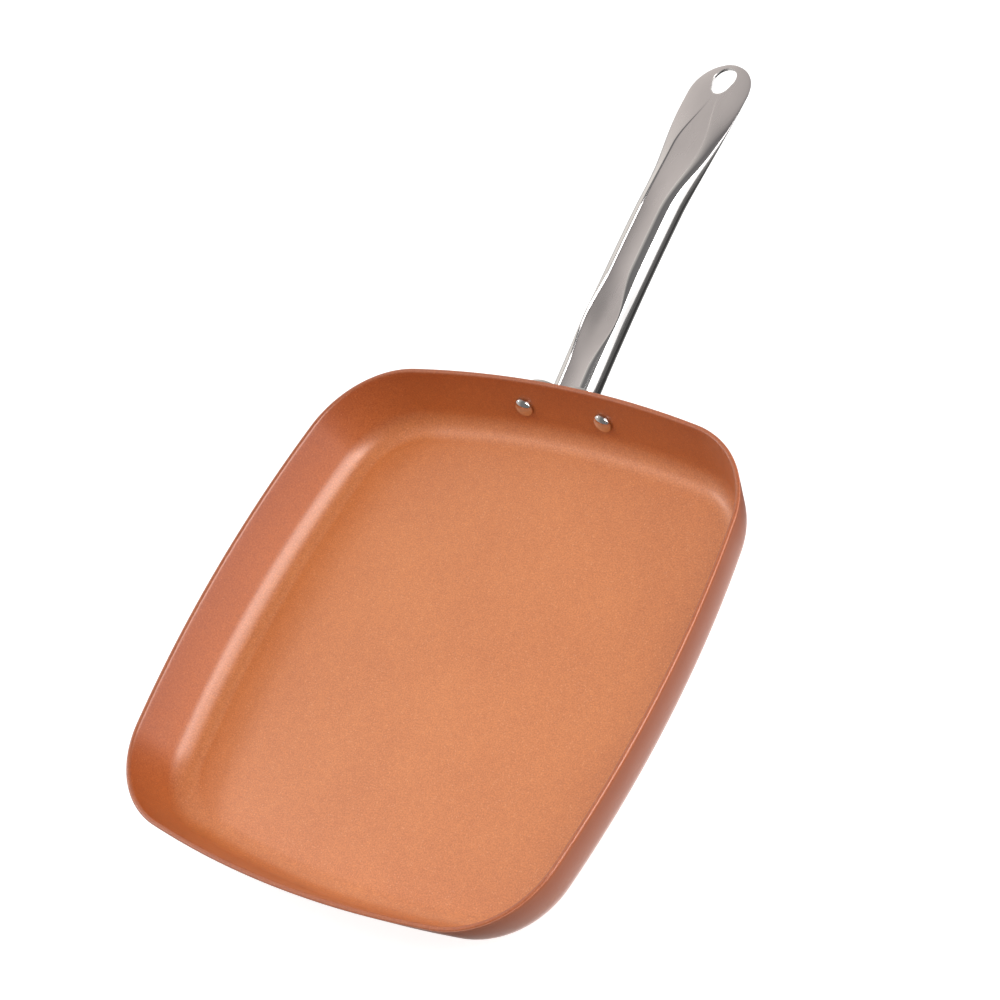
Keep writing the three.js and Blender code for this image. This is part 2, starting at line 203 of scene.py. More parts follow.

# The handle's steel: lines, smears and haze drawn out along the tube, and a darker patch
# round the thumb's dimple
LINE_STRETCH = (4200, 45, 4200)
LINES_WHERE_POLISHED = 0.02
LINE_BUMP = (0.08, 0.01 * MM)
SMEAR_SCALE = 55
SMEAR_STRETCH = (1, 0.5, 1)
SMEAR_SHADES = (0.95, 1.04)
HAZE_SCALE = 130
HAZE_STRETCH = (1, 0.3, 1)
DIMPLE_DARKENING_REACH = (5 * MM, 30 * MM)
DIMPLE_DARKENING_DEPTH = 0.13
DIMPLE_DARKENING_SMEAR = (1.35, 0.75)
SATIN_ROUGHNESS = (0.26, 0.31)
POLISHED_ROUGHNESS = (0.10, 0.12)

# The flange's and the rivets' steel
STEEL_GRAIN_SCALE = 1900
STEEL_MARK_SCALE = 240
STEEL_SHADES = (0.9, 1.06)
STEEL_BUMP = (0.06, 0.02 * MM)
FLANGE_ROUGHNESS = (0.26, 0.38)
RIVET_ROUGHNESS = (0.05, 0.09)

# The floor
FLOOR_SIZE = 12
FLOOR_HEIGHT = -0.3 * MM
FLOOR_GLOW = 0.80
FLOOR_ROUGHNESS = 0.9
FLOOR_TINT_SCALE = 3
FLOOR_SHADES = (0.985, 1.0)

# Lamps: name, place, aim, width, height, watts, whether polished steel mirrors it
LAMPS = (
    ("side_strip", (1.32, 0.45, 0.38), (0, 0.05, 0.02), 0.92, 0.85, 12.0, True),
    ("fillet_box", (0.56, 0.05, 0.66), (-0.12, 0, 0.01), 0.30, 0.45, 3.3, True),
    ("left_box", (-1.15, -0.10, 0.85), (0, 0.0, 0.02), 0.25, 0.2, 1.6, True),
    ("top_lamp", (-0.55, -0.20, 1.10), (0, 0.0, 0.02), 0.8, 0.8, 4.8, False),
)

# Cards flat on the floor that are mirrored but not seen: a black ring round the pan and dark
# strips on one side of the handle, a painted shadow of the pan and the handle, and a glowing
# grey sheet on the other, as two corners and a glow
CARD_HEIGHT = 0.5 * MM
CARD_COLOUR = (1, 0.98, 0.96, 1)
PAN_CARD_INSET = 6.5 * MM
PAN_CARD_REACH = 25 * MM
PAN_CARD_GLOW = 0.03
HANDLE_CARDS = (
    ("under_card", (-0.016, 0.150), (0.009, 0.345), 0.22),
    ("near_card", (0.009, 0.150), (0.021, 0.345), 0.05),
    ("middle_card", (0.021, 0.150), (0.034, 0.345), 0.13),
    ("far_card", (0.034, 0.150), (0.048, 0.345), 0.24),
    ("side_card", (-1.2, 0.155), (-0.016, 1.0), 0.62),
)

# The room brightens towards one side
BRIGHT_SIDE = (-0.94, 0.34, 0)
WORLD_BRIGHT = (0.93, 0.88, 0.83)
WORLD_DARK = (0.20, 0.195, 0.195)
BRIGHTENING = (0.1, 0.85)


class PanBodySettings(bpy.types.PropertyGroup):
    """Sizes and colours of the pressed body"""

    rim_width: FloatProperty(
        name="Rim Width", description="Across the rim from side to side",
        default=280 * MM, min=0.1, subtype="DISTANCE", unit="LENGTH")
    corner_radius: FloatProperty(
        name="Corner Radius", description="Radius of the rim's corners",
        default=53 * MM, min=0.03, subtype="DISTANCE", unit="LENGTH")
    side_bow_radius: FloatProperty(
        name="Side Bow Radius", description="Radius that the sides bow out on",
        default=590 * MM, min=0.2, subtype="DISTANCE", unit="LENGTH")
    depth: FloatProperty(
        name="Depth", description="Height of the rim above the underside",
        default=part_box("pan_body")[1].z, min=0.02, subtype="DISTANCE", unit="LENGTH")
    sheet: FloatProperty(
        name="Sheet", description="Thickness of the pressed sheet",
        default=2.4 * MM, min=0.001, subtype="DISTANCE", unit="LENGTH")
    wall_draft: FloatProperty(
        name="Wall Draft", description="How far the wall leans outwards",
        default=math.radians(16), subtype="ANGLE", unit="ROTATION")
    base_radius: FloatProperty(
        name="Base Radius", description="Outer radius between the base and the wall",
        default=17 * MM, min=0.005, subtype="DISTANCE", unit="LENGTH")
    rim_rounding: FloatProperty(
        name="Rim Rounding", description="Rounding of the rim's two edges",
        default=1.1 * MM, min=0.0001, subtype="DISTANCE", unit="LENGTH")
    coat_deep: FloatVectorProperty(
        name="Deep Coat", description="The coat's darker grains",
        default=(0.52, 0.137, 0.031), size=3, subtype="COLOR", min=0, max=1)
    coat_light: FloatVectorProperty(
        name="Light Coat", description="The coat's lighter grains",
        default=(0.78, 0.270, 0.076), size=3, subtype="COLOR", min=0, max=1)
    flake: FloatVectorProperty(
        name="Flakes", description="Bright flakes in the coat",
        default=(0.86, 0.42, 0.22), size=3, subtype="COLOR", min=0, max=1)
    # Painted shade: darkens the coat's colour on the walls, where less light falls than on the base
    wall_painted_shade: FloatVectorProperty(
        name="Wall Tint", description="How much the thinner coat on the walls dims each colour",
        default=(0.76, 0.65, 0.55), size=3, subtype="COLOR", min=0, max=1)
    # Painted shade: darkens the coat's colour again towards the rim
    rim_painted_shade: FloatVectorProperty(
        name="Rim Tint", description="How much the coat dims again towards the rim",
        default=(0.80, 0.68, 0.60), size=3, subtype="COLOR", min=0, max=1)
    # The outside's own coat with painted shade: darker near the rim
    outer_coat_in_shade: FloatVectorProperty(
        name="Outer Coat", description="The duller coat on the outside, near the rim",
        default=(0.34, 0.105, 0.055), size=3, subtype="COLOR", min=0, max=1)
    # Painted reflection: the pale floor's reflection painted onto the outside near the base
    outer_painted_reflection: FloatVectorProperty(
        name="Outer Coat Low", description="The paler coat on the outside, near the base",
        default=(0.43, 0.225, 0.180), size=3, subtype="COLOR", min=0, max=1)
    # Painted shade: a dark line on the outside just under the rim
    outer_lip_shade: FloatVectorProperty(
        name="Outer Lip", description="The dark line on the outside of the rim",
        default=(0.13, 0.065, 0.050), size=3, subtype="COLOR", min=0, max=1)


class HandleSettings(bpy.types.PropertyGroup):
    """Sizes and colours of the hollow handle"""

    reach: FloatProperty(
        name="Reach", description="From the rim to the handle's tip",
        default=200 * MM, min=0.15, subtype="DISTANCE", unit="LENGTH")
    tip_height: FloatProperty(
        name="Tip Height", description="Height of the tip's middle",
        default=34 * MM, subtype="DISTANCE", unit="LENGTH")
    tube_diameter: FloatProperty(
        name="Tube Diameter", description="Diameter of the round part of the tube",
        default=24 * MM, min=0.01, subtype="DISTANCE", unit="LENGTH")
    sheet: FloatProperty(
        name="Sheet", description="Thickness of the tube's sheet",
        default=1 * MM, min=0.0005, subtype="DISTANCE", unit="LENGTH")
    tip_width: FloatProperty(
        name="Tip Width", description="Width of the flattened tip",
        default=37 * MM, min=0.02, subtype="DISTANCE", unit="LENGTH")
    polished: FloatVectorProperty(
        name="Polished Steel", description="Steel on the polished sides",
        default=(0.76, 0.75, 0.745), size=3, subtype="COLOR", min=0, max=1)
    satin: FloatVectorProperty(
        name="Satin Steel", description="Steel on the pressed land",
        default=(0.585, 0.555, 0.56), size=3, subtype="COLOR", min=0, max=1)


class MountSettings(bpy.types.PropertyGroup):
    """Sizes and colours of the flange and the rivets"""

    height: FloatProperty(
        name="Mount Height", description="Height of the rivets on the wall",
        default=18.2 * MM, subtype="DISTANCE", unit="LENGTH")
    rivet_pitch: FloatProperty(
        name="Rivet Pitch", description="From one rivet to the other",
        default=50 * MM, min=0.03, subtype="DISTANCE", unit="LENGTH")
    shank_diameter: FloatProperty(
        name="Shank Diameter", description="Diameter of a rivet's shank",
        default=5 * MM, min=0.002, subtype="DISTANCE", unit="LENGTH")
    head_diameter: FloatProperty(
        name="Head Diameter", description="Diameter of the head inside the pan",
        default=10.5 * MM, min=0.006, subtype="DISTANCE", unit="LENGTH")
    head_height: FloatProperty(
        name="Head Height", description="Height of the head inside the pan",
        default=3 * MM, min=0.001, subtype="DISTANCE", unit="LENGTH")
    head_edge: FloatProperty(
        name="Head Edge", description="Straight edge under the head's dome",
        default=0.5 * MM, subtype="DISTANCE", unit="LENGTH")
    tail_diameter: FloatProperty(
        name="Tail Diameter", description="Diameter of the set tail",
        default=8.6 * MM, min=0.006, subtype="DISTANCE", unit="LENGTH")
    tail_height: FloatProperty(
        name="Tail Height", description="Height of the set tail",
        default=1.9 * MM, min=0.001, subtype="DISTANCE", unit="LENGTH")
    tail_edge: FloatProperty(
        name="Tail Edge", description="Straight edge under the tail's dome",
        default=0.4 * MM, subtype="DISTANCE", unit="LENGTH")
    flange_sheet: FloatProperty(
        name="Flange Sheet", description="Thickness of the flange",
        default=2 * MM, min=0.001, subtype="DISTANCE", unit="LENGTH")
    flange_height: FloatProperty(
        name="Flange Height", description="Height of the flange at its middle",
        default=25 * MM, min=0.02, subtype="DISTANCE", unit="LENGTH")
    flange_end_diameter: FloatProperty(
        name="Flange End Diameter", description="Round ends of the flange",
        default=18 * MM, min=0.01, subtype="DISTANCE", unit="LENGTH")
    flange_steel: FloatVectorProperty(
        name="Flange Steel", description="Steel of the flange",
        default=(0.60, 0.59, 0.58), size=3, subtype="COLOR", min=0, max=1)
    rivet_steel: FloatVectorProperty(
        name="Rivet Steel", description="Steel of the rivets",
        default=(0.72, 0.70, 0.68), size=3, subtype="COLOR", min=0, max=1)


class StageSettings(bpy.types.PropertyGroup):
    """Camera, floor and light"""

    camera_place: FloatVectorProperty(
        name="Camera Place", description="Where the camera stands",
        default=(0.78096, -0.32197, 0.91951), size=3, subtype="XYZ", unit="LENGTH")
    camera_aim: FloatVectorProperty(
        name="Camera Aim", description="The point at the middle of the picture",
        default=(0.00474, 0.07263, 0.035), size=3, subtype="XYZ", unit="LENGTH")
    camera_roll: FloatProperty(
        name="Camera Roll", description="Turn of the camera about its line of sight",
        default=math.radians(-41.23), subtype="ANGLE", unit="ROTATION")
    lens: FloatProperty(
        name="Lens", description="Focal length in millimetres", default=93.58, min=10)
    floor_colour: FloatVectorProperty(
        name="Floor Colour", description="The plain floor",
        default=(0.55, 0.55, 0.55), size=3, subtype="COLOR", min=0, max=1)
    light_colour: FloatVectorProperty(
        name="Light Colour", description="The studio's lamps",
        default=(1.0, 0.985, 0.965), size=3, subtype="COLOR", min=0, max=1)


def settings():
    scene = bpy.context.scene
    return scene.pan_body, scene.pan_handle, scene.pan_mount, scene.pan_stage


# Node trees

def set_inputs(tree, node, inputs):
    """Links each of a node's inputs, or gives it a value."""
    for key, value in inputs.items():
        socket = node.inputs[key]
        if isinstance(value, bpy.types.NodeSocket):
            tree.links.new(value, socket)
        else:
            socket.default_value = value


def add_node(tree, kind, inputs=None, **options):
    """A node with its options and its inputs set."""
    node = tree.nodes.new(kind)
    for name, value in options.items():
        setattr(node, name, value)
    set_inputs(tree, node, inputs or {})
    return node


def maths(tree, operation, *values):
    node = add_node(tree, "ShaderNodeMath", dict(enumerate(values)), operation=operation)
    return node.outputs[0]


def vector_maths(tree, operation, inputs, output="Vector"):
    node = add_node(tree, "ShaderNodeVectorMath", inputs, operation=operation)
    return node.outputs[output]


def joined(tree, **axes):
    """A vector with the given axes, and zero on the others."""
    return add_node(tree, "ShaderNodeCombineXYZ", axes).outputs[0]


def axis_of(tree, vector, axis):
    return add_node(tree, "ShaderNodeSeparateXYZ", {0: vector}).outputs[axis]


def new_tree(name, sockets):
    """A geometry tree with a geometry output, the named inputs and its group input node."""
    tree = bpy.data.node_groups.new(name, "GeometryNodeTree")
    tree.interface.new_socket("Geometry", in_out="OUTPUT", socket_type="NodeSocketGeometry")
    tree.interface.new_socket("Geometry", in_out="INPUT", socket_type="NodeSocketGeometry")
    for label, kind in sockets:
        tree.interface.new_socket(label, in_out="INPUT", socket_type=kind)
    return tree, tree.nodes.new("NodeGroupInput").outputs


def end_tree(tree, geometry, finish):
    """Ends a tree with smooth faces, real geometry and its material."""
    smooth = add_node(tree, "GeometryNodeSetShadeSmooth", {"Geometry": geometry})
    real = add_node(tree, "GeometryNodeRealizeInstances", {"Geometry": smooth.outputs[0]})
    finished = add_node(
        tree, "GeometryNodeSetMaterial", {"Geometry": real.outputs[0], "Material": finish})
    add_node(tree, "NodeGroupOutput", {"Geometry": finished.outputs[0]})


def add_tree(piece, tree, values):
    """Puts a tree on a piece with its inputs set by identifier."""
    modifier = piece.modifiers.new(tree.name, "NODES")
    modifier.node_group = tree
    identifiers = {
        item.name: item.identifier
        for item in tree.interface.items_tree
        if item.in_out == "INPUT"
    }
    for name, value in values.items():
        modifier[identifiers[name]] = value


def swept_section_tree():
    """A wall section swept along an outline: each outline point moves inwards by the section's
    first value, rises by its second and draws in to the middle by its third."""
    tree, given = new_tree("swept_section", (
        ("Outline", "NodeSocketObject"),
        ("Section", "NodeSocketObject"),
        ("Points Around", "NodeSocketInt"),
        ("Points Across", "NodeSocketInt"),
        ("Outside Points", "NodeSocketInt"),
        ("Weld Distance", "NodeSocketFloat"),
        ("Finish", "NodeSocketMaterial"),
    ))
    around, across = given["Points Around"], given["Points Across"]
    grid = add_node(tree, "GeometryNodeMeshGrid", {
        "Vertices X": maths(tree, "ADD", around, 1), "Vertices Y": across})
    index = add_node(tree, "GeometryNodeInputIndex").outputs[0]
    middle = maths(tree, "ADD", index, 0.5)
    step_around = maths(tree, "FLOOR", maths(tree, "DIVIDE", middle, across))
    step_across = maths(tree, "FLOORED_MODULO", index, across)
    place = add_node(tree, "GeometryNodeInputPosition").outputs[0]
    inward = add_node(
        tree, "GeometryNodeInputNamedAttribute", {"Name": "inward"}, data_type="FLOAT_VECTOR")

    def read(source, value, step):
        form = add_node(tree, "GeometryNodeObjectInfo", {"Object": source})
        node = add_node(
            tree, "GeometryNodeSampleIndex",
            {"Geometry": form.outputs["Geometry"], "Value": value, "Index": step},
            data_type="FLOAT_VECTOR", domain="POINT")
        return node.outputs[0]

    on_outline = maths(tree, "FLOORED_MODULO", step_around, around)
    start = read(given["Outline"], place, on_outline)
    towards = read(given["Outline"], inward.outputs[0], on_outline)
    section = add_node(
        tree, "ShaderNodeSeparateXYZ", {0: read(given["Section"], place, step_across)})
    inset = vector_maths(tree, "SCALE", {0: towards, "Scale": section.outputs["X"]})
    flat = vector_maths(tree, "ADD", {0: start, 1: inset})
    kept = maths(tree, "SUBTRACT", 1, section.outputs["Z"])
    drawn_in = vector_maths(tree, "SCALE", {0: flat, "Scale": kept})
    rise = joined(tree, Z=section.outputs["Y"])
    marked = add_node(tree, "GeometryNodeStoreNamedAttribute", {
        "Geometry": grid.outputs["Mesh"], "Name": "outside",
        "Value": maths(tree, "LESS_THAN", step_across, given["Outside Points"])},
        data_type="FLOAT", domain="POINT")
    moved = add_node(tree, "GeometryNodeSetPosition", {
        "Geometry": marked.outputs[0],
        "Position": vector_maths(tree, "ADD", {0: drawn_in, 1: rise})})
    welded = add_node(tree, "GeometryNodeMergeByDistance", {
        "Geometry": moved.outputs[0], "Distance": given["Weld Distance"]})
    end_tree(tree, welded.outputs[0], given["Finish"])
    return tree


def rivet_row_tree():
    """Rivets spread along the bowed wall, each square to the wall where it stands."""
    tree, given = new_tree("rivet_row", (
        ("Rivet", "NodeSocketObject"),
        ("Count", "NodeSocketInt"),
        ("Pitch", "NodeSocketFloat"),
        ("Height", "NodeSocketFloat"),
        ("Wall Radius", "NodeSocketFloat"),
        ("Bow Centre", "NodeSocketFloat"),
        ("Draft", "NodeSocketFloat"),
        ("Finish", "NodeSocketMaterial"),
    ))
    gaps = maths(tree, "SUBTRACT", given["Count"], 1)
    first = maths(tree, "MULTIPLY", maths(tree, "MULTIPLY", gaps, given["Pitch"]), -0.5)
    line = add_node(tree, "GeometryNodeMeshLine", {
        "Count": given["Count"],
        "Start Location": joined(tree, X=first),
        "Offset": joined(tree, X=given["Pitch"])})
    x = axis_of(tree, add_node(tree, "GeometryNodeInputPosition").outputs[0], "X")
    turn = maths(tree, "ARCSINE", maths(tree, "DIVIDE", x, given["Wall Radius"]))
    out = maths(tree, "MULTIPLY", given["Wall Radius"], maths(tree, "COSINE", turn))
    level = maths(tree, "COSINE", given["Draft"])
    axis = joined(
        tree,
        X=maths(tree, "MULTIPLY", maths(tree, "SINE", turn), level),
        Y=maths(tree, "MULTIPLY", maths(tree, "COSINE", turn), level),
        Z=maths(tree, "MULTIPLY", maths(tree, "SINE", given["Draft"]), -1))
    marked = add_node(tree, "GeometryNodeStoreNamedAttribute", {
        "Geometry": line.outputs["Mesh"], "Name": "axis", "Value": axis},
        data_type="FLOAT_VECTOR", domain="POINT")
    seat = joined(tree, X=x, Y=maths(tree, "ADD", given["Bow Centre"], out), Z=given["Height"])
    seats = add_node(
        tree, "GeometryNodeSetPosition", {"Geometry": marked.outputs[0], "Position": seat})
    along = add_node(
        tree, "GeometryNodeInputNamedAttribute", {"Name": "axis"}, data_type="FLOAT_VECTOR")
    facing = add_node(
        tree, "FunctionNodeAlignRotationToVector", {"Vector": along.outputs[0]}, axis="Z")
    form = add_node(tree, "GeometryNodeObjectInfo", {"Object": given["Rivet"]})
    row = add_node(tree, "GeometryNodeInstanceOnPoints", {
        "Points": seats.outputs[0],
        "Instance": form.outputs["Geometry"],
        "Rotation": facing.outputs[0]})
    end_tree(tree, row.outputs[0], given["Finish"])
    return tree


# Meshes

def smoothstep(value, low, high):
    share = np.clip((value - low) / (high - low), 0, 1)
    return share * share * (3 - 2 * share)


def lerp(a, b, share):
    return a + (b - a) * share


def new_piece(name, points, faces=()):
    mesh = bpy.data.meshes.new(name)
    mesh.from_pydata([tuple(map(float, p)) for p in points], [], [tuple(f) for f in faces])
    piece = bpy.data.objects.new(name, mesh)
    bpy.context.scene.collection.objects.link(piece)
    return piece


def drop(*objects):
    for piece in objects:
        bpy.data.objects.remove(piece)


def make_plain(piece):
    """Turns a piece's modifiers into a plain closed mesh whose faces point outwards."""
    graph = bpy.context.evaluated_depsgraph_get()
    mesh = bpy.data.meshes.new_from_object(
        piece.evaluated_get(graph), preserve_all_data_layers=True, depsgraph=graph)
    piece.modifiers.clear()
    old = piece.data
    piece.data = mesh
    bpy.data.meshes.remove(old)
    mesh.name = piece.name
    editor = bmesh.new()
    editor.from_mesh(mesh)
    bmesh.ops.remove_doubles(editor, verts=editor.verts, dist=WELD_DISTANCE)
    bmesh.ops.recalc_face_normals(editor, faces=editor.faces)
    open_edges = [edge for edge in editor.edges if not edge.is_manifold]
    editor.to_mesh(mesh)
    editor.free()
    if open_edges:
        raise RuntimeError(f"{piece.name} has {len(open_edges)} open edges")
    mesh.shade_smooth()
    mesh.set_sharp_from_angle(angle=SHARP_ANGLE)


def cut(piece, cutter):
    """Cuts a form out of a piece, makes the piece plain and drops the form."""
    boolean = piece.modifiers.new("cut", "BOOLEAN")
    boolean.operation = "DIFFERENCE"
    boolean.solver = "EXACT"
    boolean.object = cutter
    make_plain(piece)
    drop(cutter)


def ring_faces(ring_count, point_count, closed=False):
    """Quads between neighbouring rings, numbered ring by ring."""
    faces = []
    for i in range(ring_count if closed else ring_count - 1):
        here = i * point_count
        there = ((i + 1) % ring_count) * point_count
        for j in range(point_count):
            k = (j + 1) % point_count
            faces.append((here + j, here + k, there + k, there + j))
    return faces


def capped_loft(name, rings):
    """A closed skin over rings of equal length, with a fan on each end."""
    count = len(rings[0])
    points = [point for ring in rings for point in ring]
    faces = ring_faces(len(rings), count)
    for start in (0, len(points) - count):
        faces += [(start + j, start + (j + 1) % count, len(points)) for j in range(count)]
        points.append(np.mean(points[start:start + count], axis=0))
    return new_piece(name, points, faces)


def wrapped_circles(circles):
    """Points of the outline round a row of circles on the x axis, each (place, radius)."""
    tangents = []
    for (a, near), (b, far) in zip(circles, circles[1:]):
        tangents.append(math.acos((near - far) / (b - a)))
    last = len(circles) - 1
    arcs = [(last, -tangents[-1], tangents[-1])]
    arcs += [(i, tangents[i], tangents[i - 1]) for i in range(last - 1, 0, -1)]
    arcs += [(0, tangents[0], 2 * math.pi - tangents[0])]
    arcs += [(i, -tangents[i - 1], -tangents[i]) for i in range(1, last)]
    points = []
    for i, start, end in arcs:
        place, radius = circles[i]
        for angle in np.linspace(start, end, ARC_POINTS):
            points.append((place + radius * math.cos(angle), radius * math.sin(angle)))
    return np.array(points)


# Pan body

def bow_centre(pan):
    return pan.rim_width / 2 - pan.side_bow_radius


def wall_inset(pan, height):
    """How far the outer wall stands inside the rim's outline at a height."""
    return (pan.depth - height) * math.tan(pan.wall_draft)


def wall_radius(pan, height, offset):
    return pan.side_bow_radius - wall_inset(pan, height) + offset / math.cos(pan.wall_draft)


def wall_point(pan, x, height, offset):
    """A point on the handle-side wall's outer face, moved outwards by an offset."""
    y = bow_centre(pan) + np.sqrt(wall_radius(pan, height, offset) ** 2 - x ** 2)
    return np.stack(np.broadcast_arrays(x, y, height), axis=-1)


def rim_outline(pan):
    """The rim's outline and its inward directions: a bowed side and a corner, four times."""
    bow = bow_centre(pan)
    reach = pan.side_bow_radius - pan.corner_radius
    corner = (bow + math.sqrt(2 * reach ** 2 - bow ** 2)) / 2
    start = math.atan2(corner, corner - bow)
    stretches = (
        ((bow, 0), pan.side_bow_radius, -start, start, SIDE_STEPS),
        ((corner, corner), pan.corner_radius, start, math.pi / 2 - start, CORNER_STEPS),
    )
    places, inward = [], []
    for quarter in range(4):
        turn = Quaternion((0, 0, 1), quarter * math.pi / 2)
        for (x, y), radius, first, last, steps in stretches:
            for angle in np.linspace(first, last, steps, endpoint=False):
                out = Vector((math.cos(angle), math.sin(angle), 0))
                places.append(turn @ (Vector((x, y, 0)) + radius * out))
                inward.append(turn @ -out)
    return places, inward


def body_section(pan):
    """The wall's section from the middle of the underside, over the rim, to the middle of the
    floor, as inset, height and how far the ring is drawn in, and how many points lie outside."""
    draft, radius = pan.wall_draft, pan.base_radius
    tangent_height = radius * (1 - math.sin(draft))
    centre_inset = wall_inset(pan, tangent_height) + radius * math.cos(draft)
    across = pan.sheet / math.cos(draft)
    drop_in = pan.rim_rounding * math.tan(draft)
    shoulder = pan.depth - pan.rim_rounding

    def flat(height):
        return [(centre_inset, height, share) for share in np.linspace(1, 0, FLOOR_RINGS)[:-1]]

    def fillet(arc_radius):
        return [
            (centre_inset - arc_radius * math.cos(a), radius - arc_radius * math.sin(a), 0)
            for a in np.linspace(math.pi / 2, draft, FILLET_STEPS)
        ]

    def wall(from_inset, to_inset, from_height):
        shares = np.linspace(0, 1, WALL_STEPS)[1:-1]
        return [
            (lerp(from_inset, to_inset, s), lerp(from_height, shoulder, s), 0)
            for s in shares
        ]

    def edge(wall_side, corner, top_side):
        shares = np.linspace(0, 1, RIM_STEPS)[:, None]
        bend = (1 - shares) ** 2 * wall_side + 2 * shares * (1 - shares) * corner
        return [(x, z, 0) for x, z in bend + shares ** 2 * top_side]

    outer_arc, inner_arc = fillet(radius), fillet(radius - pan.sheet)
    outer_edge = edge(
        np.array((drop_in, shoulder)),
        np.array((0, pan.depth)),
        np.array((pan.rim_rounding, pan.depth)))
    inner_edge = edge(
        np.array((across + drop_in, shoulder)),
        np.array((across, pan.depth)),
        np.array((across - pan.rim_rounding, pan.depth)))
    outside = flat(0) + outer_arc + wall(outer_arc[-1][0], drop_in, outer_arc[-1][1])
    inside = flat(pan.sheet) + inner_arc
    inside += wall(inner_arc[-1][0], across + drop_in, inner_arc[-1][1])
    return outside + outer_edge + (inside + inner_edge)[::-1], len(outside)


def sweep(name, outline, inward, section, outside_points, finish):
    """A closed piece made by the section tree."""
    guide = new_piece(name + "_outline", outline)
    attribute = guide.data.attributes.new("inward", "FLOAT_VECTOR", "POINT")
    attribute.data.foreach_set("vector", np.array(inward, float).ravel())
    profile = new_piece(name + "_section", section)
    piece = new_piece(name, [])
    add_tree(piece, swept_section_tree(), {
        "Outline": guide, "Section": profile,
        "Points Around": len(outline), "Points Across": len(section),
        "Outside Points": outside_points,
        "Weld Distance": WELD_DISTANCE, "Finish": finish})
    return piece, (guide, profile)


def shank_cutter(pan, mount):
    """Pins as wide as the rivet holes, square to the wall where the rivets stand."""
    radius = mount.shank_diameter / 2 + SHANK_GAP
    level = math.cos(pan.wall_draft)
    sides = ring_faces(2, RIVET_SEGMENTS)
    ends = [range(RIVET_SEGMENTS)[::-1], range(RIVET_SEGMENTS, 2 * RIVET_SEGMENTS)]
    points, faces = [], []
    for step in range(RIVET_COUNT):
        x = (step - (RIVET_COUNT - 1) / 2) * mount.rivet_pitch
        seat = Vector(wall_point(pan, x, mount.height, 0))
        turn = math.asin(x / wall_radius(pan, mount.height, 0))
        axis = Vector((
            math.sin(turn) * level, math.cos(turn) * level, -math.sin(pan.wall_draft)))
        facing = axis.to_track_quat("Z", "Y")
        faces += [[len(points) + i for i in face] for face in sides + ends]
        for height in (-SHANK_CUT_REACH, SHANK_CUT_REACH):
            for angle in np.linspace(0, 2 * math.pi, RIVET_SEGMENTS, endpoint=False):
                spoke = Vector((radius * math.cos(angle), radius * math.sin(angle), height))
                points.append(seat + facing @ spoke)
    return new_piece("shank_cutter", points, faces)


# Handle

def flange_face(mount):
    """The flange's outer face, counted from the wall's outer face."""
    return SEAT_GAP + mount.flange_sheet


def on_axis(pan, handle, mount, place, x, z):
    """Points at section coordinates x and z where the tube's axis has run a place out from
    the rim. The axis leaves the flange rising and levels out at the tip."""
    root = wall_point(pan, 0, mount.height, flange_face(mount))[1]
    length = pan.rim_width / 2 + handle.reach - root
    share = (pan.rim_width / 2 + place - root) / length
    rise = handle.tip_height - mount.height
    slope = 2 * rise * (1 - share) / length
    lean = np.sqrt(1 + slope ** 2)
    y = pan.rim_width / 2 + place - z * slope / lean
    height = mount.height + rise * share * (2 - share) + z / lean
    return np.stack(np.broadcast_arrays(x, y, height), axis=-1)


def land_at(handle, place):
    """The land's width, height and depth at a place, eased between the named places."""
    named = [(p if p > 0 else handle.reach + p, *sizes) for p, *sizes in LAND_PLACES]
    if place <= named[0][0]:
        return named[0][1:]
    for before, after in zip(named, named[1:]):
        if place < after[0]:
            ease = smoothstep(place, before[0], after[0])
            return tuple(lerp(a, b, ease) for a, b in zip(before[1:], after[1:]))
    return named[-1][1:]


